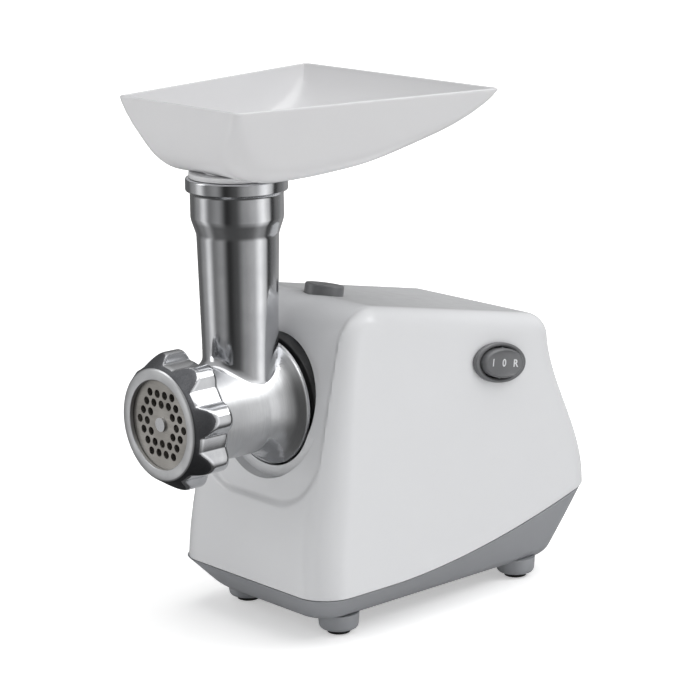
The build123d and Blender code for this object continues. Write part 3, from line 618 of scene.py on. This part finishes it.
def panDepth(p):
    # distance out past the curved nose and keel, or past the leaning side walls, whichever is more,
    # with a round corner between them
    flat = p[..., 1:].reshape(-1, 1, 2)
    start, run = panLine[:-1], np.diff(panLine, axis=0)
    share = np.clip(((flat - start) * run).sum(-1) / (run ** 2).sum(-1), 0, 1)
    gapTo = flat - (start + share[..., None] * run)
    away = (gapTo ** 2).sum(-1)
    nearest = away.argmin(axis=1)
    pick = np.arange(len(nearest))
    side = run[nearest, 0] * gapTo[pick, nearest, 1] - run[nearest, 1] * gapTo[pick, nearest, 0]
    below = (-np.sign(side) * np.sqrt(away[pick, nearest])).reshape(p.shape[:-1])
    (frontHalf, backHalf), (frontY, backY) = pan["half"], pan["halfAt"]
    spread = (backHalf - frontHalf) / (backY - frontY)
    down = pan["rim"] - p[..., 2]
    half = frontHalf + spread * (p[..., 1] - frontY) - pan["lean"] * down
    beside = (np.abs(p[..., 0]) - half) / math.sqrt(1 + spread ** 2 + pan["lean"] ** 2)
    sharp, soft = pan["corner"]
    return roundMax(below, beside, sharp + (soft - sharp) * smoothStep(down, 0, pan["cornerDown"]))


def makeHopper():
    # outer and inner skins from the rim down, joined over the lip by half an ellipse
    centre = np.array((0, pan["centre"], pan["rim"] - pan["lip"]))
    turn = np.linspace(0, 2 * np.pi, 320, endpoint=False)
    dip = np.linspace(0, np.pi / 2, 56)[:, None]
    wide, long, deep = pan["reach"]
    aims = np.stack([wide * np.sin(turn) * np.cos(dip), -long * np.cos(turn) * np.cos(dip),
                     -deep * np.sin(dip) + 0 * turn], axis=-1)
    outer = castSkin(panDepth, centre, aims, 0.0)
    inner = castSkin(panDepth, centre, aims, -pan["wall"])
    middle, half = (outer[0] + inner[0]) / 2, (outer[0] - inner[0]) / 2
    over = np.linspace(0, np.pi, 9)[1:-1, None, None]
    lip = middle + np.cos(over) * half + pan["lip"] * np.sin(over) * (0, 0, 1)
    piece = meshPiece("hopper_scoop", [np.concatenate([outer[::-1], lip, inner])])
    neck = turnedAbout(roundedLine(pan["neckLine"]), (0, tubeY, 0), (0, 0, 1), 128)
    cut(piece, meshPiece("neck", [neck]), "UNION")
    bore = turnedAbout(np.array(pan["neckHollow"]), (0, tubeY, 0), (0, 0, 1), 128)
    cut(piece, meshPiece("bore", [bore]))
    finishPiece(piece, finishes["white_hopper"], "hopper", "white_hopper", "hopper_pan")


shell = {
    "half": 75.0, "draft": 3.41, "wall": 2.5, "seamGap": 0.25,      # mm, and degrees of draft
    "frontFoot": -90.0, "footSlope": 0.0374, "faceSlope": 0.2254, "bendLow": 42.1, "bendHigh": 85.5,
    "topFront": 208.3, "topFall": 0.19,
    "rearTop": 128.0, "rearBulge": 29.5, "rearLow": 70.0, "rearHigh": 173.8,
    "edge": 13.0, "cornerLow": 23.0, "brow": 25.0,                  # radii of the rounded edges
    "panelHalf": 57.5, "panelFoot": 86.0, "panelCorner": 36.0, "panelDepth": 2.6, "panelEdge": 4.0,
    "landing": -70.0, "landingRadius": 50.0, "socket": 43.0,        # where the casing's flange sits
    "centre": (0, 20, 105), "reach": (76, 120, 96), "room": -9,     # the hollow starts below the seam
}
trayFoot = {
    "half": 54.0, "floor": 10.0, "front": -72.0, "rear": 141.0, "corner": 16.0, "under": 9.0,
    "frontLean": 0.77, "rearLean": 0.28, "centre": (0, 30, 36), "reach": (72, 115, 27), "room": 4,
}
switchSeat = {"place": (67.4, 73.5, 161.5), "along": (0, 0.9824, -0.1867), "hole": (22.5, 12.3)}
buttonSeat = {"place": (0, -19.5, 212.0), "out": (0, 0.1867, 0.9824), "hole": 13.3}


seam = {"low": 33.4, "rise": 31.0, "from": -30.0, "over": 185.0, "power": 1.75}


def seamHeight(y):
    # level in front, then rising as a power of the distance behind where it starts to rise
    return seam["low"] + seam["rise"] * (np.maximum(y - seam["from"], 0) / seam["over"]) ** seam["power"]


def frontFace(z):
    # the front's y: steep at the foot, its slope grows evenly through the bend, then stays the same
    s = shell
    bend = s["bendHigh"] - s["bendLow"]
    into = np.clip(z - s["bendLow"], 0, bend)
    extra = (s["faceSlope"] - s["footSlope"]) * (into ** 2 / (2 * bend) + np.maximum(z - s["bendHigh"], 0))
    return s["frontFoot"] + s["footSlope"] * (z - 20) + extra


def housingDepth(p):
    # inside the front, top, sides and rear at once, with round edges; the front has a shallow sunk
    # panel, and the factor on each face turns its slope's distance into one square to the face
    s = shell
    x, y, z = np.abs(p[..., 0]), p[..., 1], p[..., 2]
    inPanel = roundMax(x - s["panelHalf"], s["panelFoot"] - z, s["panelCorner"])
    sunk = s["panelDepth"] * smoothStep(-inPanel, 0.0, s["panelEdge"])
    front = (frontFace(z) + sunk - y) * 0.976
    top = (z - s["topFront"] + s["topFall"] * y) * 0.982
    side = (x - s["half"] + math.tan(math.radians(s["draft"])) * (z - 34)) * 0.998
    waist = smoothStep((s["rearHigh"] - z) / (s["rearHigh"] - s["rearLow"]), 0, 1)
    rear = (y - s["rearTop"] - s["rearBulge"] * waist) * 0.95
    corner = s["edge"] + (s["cornerLow"] - s["edge"]) * smoothStep(-y, 20, 60) * smoothStep(-z, -190, -70)
    length = roundMax(roundMax(front, top, s["brow"]), rear, s["edge"])
    return roundMax(length, side, corner)


def trayDepth(p):
    # walls that slope in from the seam to the floor, round in plan and along the bottom
    f = trayFoot
    x, y, z = np.abs(p[..., 0]), p[..., 1], p[..., 2]
    lean = (shell["half"] - f["half"]) / (seamHeight(y) - f["floor"])
    side = (x - f["half"] - lean * (z - f["floor"])) / np.sqrt(1 + lean ** 2)
    front = (f["front"] - f["frontLean"] * (z - f["floor"]) - y) * 0.79
    rear = (y - f["rear"] - f["rearLean"] * (z - f["floor"])) * 0.96
    around = roundMax(roundMax(front, rear, 1.0), side, f["corner"])
    return roundMax(around, f["floor"] - z, f["under"])


def closedSkin(name, depth, form, level, lift, columns, rows, up):
    # a closed form: the ruled seam surface, then the skin from the seam to its pole above or below
    turn = np.linspace(0, 2 * np.pi, columns, endpoint=False)
    turn = turn - np.sin(turn) * (0.45 if up > 0 else 0.135)      # closer columns at the rear
    centre = np.array(form["centre"], float)
    wide, long, high = form["reach"]

    def aims(tilt):
        return np.stack([wide * np.sin(turn) * np.cos(tilt), long * np.cos(turn) * np.cos(tilt),
                         high * np.sin(tilt) + 0 * turn], axis=-1)

    lowest, highest = np.full(columns, -1.45), np.full(columns, 1.2)
    for _ in range(26):      # halve the tilt until the ray meets the skin on the seam
        tilt = (lowest + highest) / 2
        met = castSkin(depth, centre, aims(tilt), level)
        under = met[:, 2] < seamHeight(met[:, 1]) + lift
        lowest, highest = np.where(under, tilt, lowest), np.where(under, highest, tilt)
    share = np.linspace(0, 1, rows)[:, None]
    skin = castSkin(depth, centre, aims(tilt + (up * np.pi / 2 - tilt) * share), level)
    inward = np.linspace(0, 1, 14)[:-1, None]
    cap = centre + (skin[0] - centre) * inward[..., None]
    cap[..., 2] = seamHeight(cap[..., 1]) + lift
    return meshPiece(name, [np.concatenate([cap, skin])])


def prism(outline, low, high, edge, onto):
    # a closed block: the outline is carried from low to high, a little smaller at its two ends
    middle = outline.mean(axis=0)
    ends = 1 - edge / 30
    rows = [(0, low), (ends, low), (1, low + edge), (1, high - edge), (ends, high), (0, high)]
    return np.array([onto(middle + (outline - middle) * scale, level) for scale, level in rows])


def ellipse(a, b, columns=128):
    turn = np.linspace(0, 2 * np.pi, columns, endpoint=False)
    return np.stack([a * np.cos(turn), b * np.sin(turn)], axis=-1)


def seat(place, along, out):
    # gives what lays flat points on a plane: the first number runs along it, the second across it,
    # and level is how far they stand out
    along, out = np.array(along, float), np.array(out, float)
    across = np.cross(out, along)
    return lambda flat, level: (np.array(place) + flat[..., :1] * along + flat[..., 1:2] * across
                                + np.asarray(level) * out)


draft = math.radians(shell["draft"])
onSwitch = seat(switchSeat["place"], switchSeat["along"], (math.cos(draft), 0, math.sin(draft)))
onButton = seat(buttonSeat["place"], (1, 0, 0), buttonSeat["out"])


def makeHousing():
    s = shell
    piece = closedSkin("housing_moulding", housingDepth, s, 0.0, s["seamGap"], 480, 180, 1)
    room = closedSkin("room", housingDepth, s, -s["wall"], s["room"], 200, 90, 1)
    # the leaning face is cut back to an upright landing round the socket, with its own wall behind
    guardRadius = s["landingRadius"] + s["wall"]
    guardBack = s["landing"] + s["wall"]
    guard = np.array([(-102, 0), (-102, guardRadius), (guardBack, guardRadius), (guardBack, 0)])
    cut(room, meshPiece("guard", [turnedAbout(guard, (0, 0, screwZ), (0, 1, 0), 160)]))
    cut(piece, room)
    step = np.array([(-110, 0), (-110, s["landingRadius"]), (s["landing"], s["landingRadius"]),
                     (s["landing"], s["socket"]), (-40, s["socket"]), (-40, 0)])
    switchHole = prism(ellipse(*switchSeat["hole"]), -9, 8, 0.1, onSwitch)
    buttonHole = prism(ellipse(buttonSeat["hole"], buttonSeat["hole"], 96), -12, 12, 0.1, onButton)
    socketHole = turnedAbout(step, (0, 0, screwZ), (0, 1, 0), 160)
    cut(piece, meshPiece("openings", [socketHole, switchHole, buttonHole]))
    finishPiece(piece, finishes["white_housing"], "housing", "white_housing", "housing_shell")


tray = {
    "feet": [(45.6, -50.8), (-45.6, -50.8), (45.6, 112.6), (-45.6, 112.6)],
    "vents": 9, "ventPitch": 6.0, "ventFrom": 30, "ventTo": 70, "ventHalf": 1.4,
    "gland": (-30, 147.9, 34), "glandOut": (0, 0.963, -0.27), "glandHole": 6,
    # a foot's boss and its rubber pad from the ground up: (z, radius, how far its corner is rounded)
    "bossLine": [(2.8, 0, 0), (2.8, 12.7, 3.6), (9, 13.3, 2), (14, 13.6, 0.5), (14, 0, 0)],
    "padLine": [(0, 0, 0), (0, 7.6, 0.6), (2.8, 7.9, 0.3), (3.4, 0, 0)],
}


def onFeet(line):
    # the turned profile, once on each foot's axis
    return [turnedAbout(roundedLine(line), (x, y, 0), (0, 0, 1), 64) for x, y in tray["feet"]]


def makeTray():
    t = tray
    piece = closedSkin("base_moulding", trayDepth, trayFoot, 0.0, -shell["seamGap"], 360, 110, -1)
    cut(piece, meshPiece("bosses", onFeet(t["bossLine"])), "UNION")
    room = closedSkin("tray_room", trayDepth, trayFoot, -shell["wall"], trayFoot["room"], 160, 60, -1)
    cut(piece, room)
    half, front, rear = t["ventHalf"], t["ventFrom"], t["ventTo"]
    slot = rounded([(-half, front), (half, front), (half, rear), (-half, rear)], half - 0.1)[:-1]
    shifts = (np.arange(t["vents"]) - (t["vents"] - 1) / 2) * t["ventPitch"]
    vents = [prism(slot + (shift, 0), 4, 14, 0.01, lambda flat, level: np.insert(flat, 2, level, axis=1))
             for shift in shifts]
    hole = np.array([(-12, 0), (-12, t["glandHole"]), (6, t["glandHole"]), (6, 0)], float)
    vents.append(turnedAbout(hole, t["gland"], t["glandOut"], 48))
    cut(piece, meshPiece("vents", vents))
    finishPiece(piece, finishes["grey_base"], "housing", "grey_base", "base_tray")
    pads = meshPiece("rubber_feet", onFeet(t["padLine"]))
    finishPiece(pads, finishes["rubber"], "housing", "rubber", "foot_pads")


trim = {
    # ellipses of the switch frame and the rocker: (half length, half width, how far out)
    "bezel": [(23.6, 13.1, 0.1), (24, 13.5, 0.3), (23.85, 13.35, 2.2), (23.4, 12.9, 2.85),
              (22.6, 12.1, 3.1), (20.2, 11.7, 2.9), (19.3, 11.0, 2.3), (18.95, 10.65, 1.2),
              (18.9, 10.6, -12), (22.2, 12.0, -12), (22.2, 12.0, 0.1)],
    "rocker": [(0, 0, -6), (17.5, 9.2, -6), (18.3, 10, 2), (18.1, 9.8, 5.4), (17.7, 9.4, 6.3),
               (16.9, 8.6, 6.7)],
    "dish": 1.3,                                            # how deep the rocker's face is hollowed
    "marks": [("I", -10.5), ("0", 0.2), ("R", 10.5)], "markSize": 7.02, "markRise": 0.2, "markBold": 0.12,
    # the button from its foot up: (how far out, radius, how far its corner is rounded)
    "buttonLine": [(-4.9, 0, 0), (-4.9, 14.2, 0.3), (-3.4, 14.2, 0.3), (-3.4, 13, 0.2), (6.5, 12.8, 1.3),
                   (6, 0, 0)],
    "ring": (36.2, 42.7, -65.8, -44.6), "ringRound": 0.8,   # inner and outer radius, front and rear y
}


def ovalRows(rows):
    return np.array([onSwitch(ellipse(a, b), level) for a, b, level in rows])


def dished(along):
    # the hollow of the rocker's face: a parabola along its length, gone at the two ends
    return trim["dish"] * (1 - (along / trim["rocker"][-1][0]) ** 2)


def makeTrim():
    t = trim
    bezel = meshPiece("switch_frame", [ovalRows(t["bezel"] + t["bezel"][:1])], 50)
    finishPiece(bezel, finishes["grey_trim"], "housing", "grey_trim", "switch_bezel")
    # the rocker's face is dished, but not at its rim
    a, b, level = t["rocker"][-1]
    shares = np.linspace(1, 0, 16)[1:, None, None]
    flat = ellipse(a, b) * shares
    face = onSwitch(flat, level - dished(flat[..., :1]) * (1 - shares ** 6))
    rocker = meshPiece("rocker_cap", [np.concatenate([ovalRows(t["rocker"]), face])], 50)
    finishPiece(rocker, finishes["grey_trim"], "rocker", "grey_trim", "switch_rocker")
    profile = roundedLine(t["buttonLine"], 7)
    button = meshPiece("lock_cap", [turnedAbout(profile, buttonSeat["place"], buttonSeat["out"])])
    finishPiece(button, finishes["grey_trim"], "lock", "grey_trim", "lock_button")
    inner, outer, front, back = t["ring"]
    ring = rounded([(front, inner), (front, outer), (back, outer), (back, inner)], t["ringRound"])
    socket = meshPiece("socket_ring", [turnedAbout(ring, (0, 0, screwZ), (0, 1, 0), 128)])
    finishPiece(socket, finishes["black_plastic"], "housing", "black_plastic", "socket_bezel")


spring = {
    "radius": 5.0, "wire": 0.35, "turns": 3, "low": -10.9, "high": 4.5,
    "keep": 0.34,       # its length when the button is down, as a share of its length at rest
    "steps": 145,
}


def makeSpring():
    # a wire of round section carried up a helix, its ends closed
    p = spring
    turn = np.linspace(0, 2 * np.pi * p["turns"], p["steps"])
    rise = p["high"] * np.linspace(0.08, 0.92, p["steps"])
    around = np.linspace(0, 2 * np.pi, 12, endpoint=False)
    wire = p["wire"] * np.concatenate([[0], np.ones(p["steps"] - 2), [0]])[:, None]
    reach = p["radius"] + wire * np.cos(around)
    flat = np.stack([reach * np.cos(turn)[:, None], reach * np.sin(turn)[:, None]], axis=-1)
    level = p["low"] + rise[:, None, None] + (wire * np.sin(around))[..., None]
    piece = meshPiece("coil_spring", [onButton(flat, level)], 60)
    finishPiece(piece, finishes["spring_steel"], "housing", "spring_steel", "lock_spring")
    foot = onButton(np.zeros(2), p["low"]) * mm
    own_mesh(piece)


def makeMarks():
    # the switch's marks, moulded just proud of the rocker's face
    for letter, shift in trim["marks"]:
        curve = bpy.data.curves.new("mark_" + letter, "FONT")
        curve.body = letter
        curve.size = trim["markSize"]
        curve.extrude = trim["markRise"]
        curve.offset = trim["markBold"]
        curve.align_x, curve.align_y = "CENTER", "CENTER"
        words = bpy.data.objects.new("mark", curve)
        bpy.context.scene.collection.objects.link(words)
        mesh = bpy.data.meshes.new_from_object(words.evaluated_get(bpy.context.evaluated_depsgraph_get()))
        bpy.data.objects.remove(words)
        flat = np.zeros(len(mesh.vertices) * 3)
        mesh.vertices.foreach_get("co", flat)
        flat = flat.reshape(-1, 3)
        face = trim["rocker"][-1][2] - dished(flat[:, :1] + shift)
        placed = onSwitch(flat[:, :2] + (shift, 0), face + flat[:, 2:])
        mesh.vertices.foreach_set("co", (placed * mm).ravel())
        mark = bpy.data.objects.new("switch_mark_" + letter, mesh)
        bpy.context.scene.collection.objects.link(mark)
        tidyMesh(mark)
        mark.data.materials.clear()
        mark.data.materials.append(finishes["white_housing"])
        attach(mark, "rocker")
    print("marks made")


makeCamera()
makeStudio()
dressFrame()
makeCasing()
makeNut()
makeHopper()
makeHousing()
makeTray()
makeTrim()
makeSpring()
makeMarks()
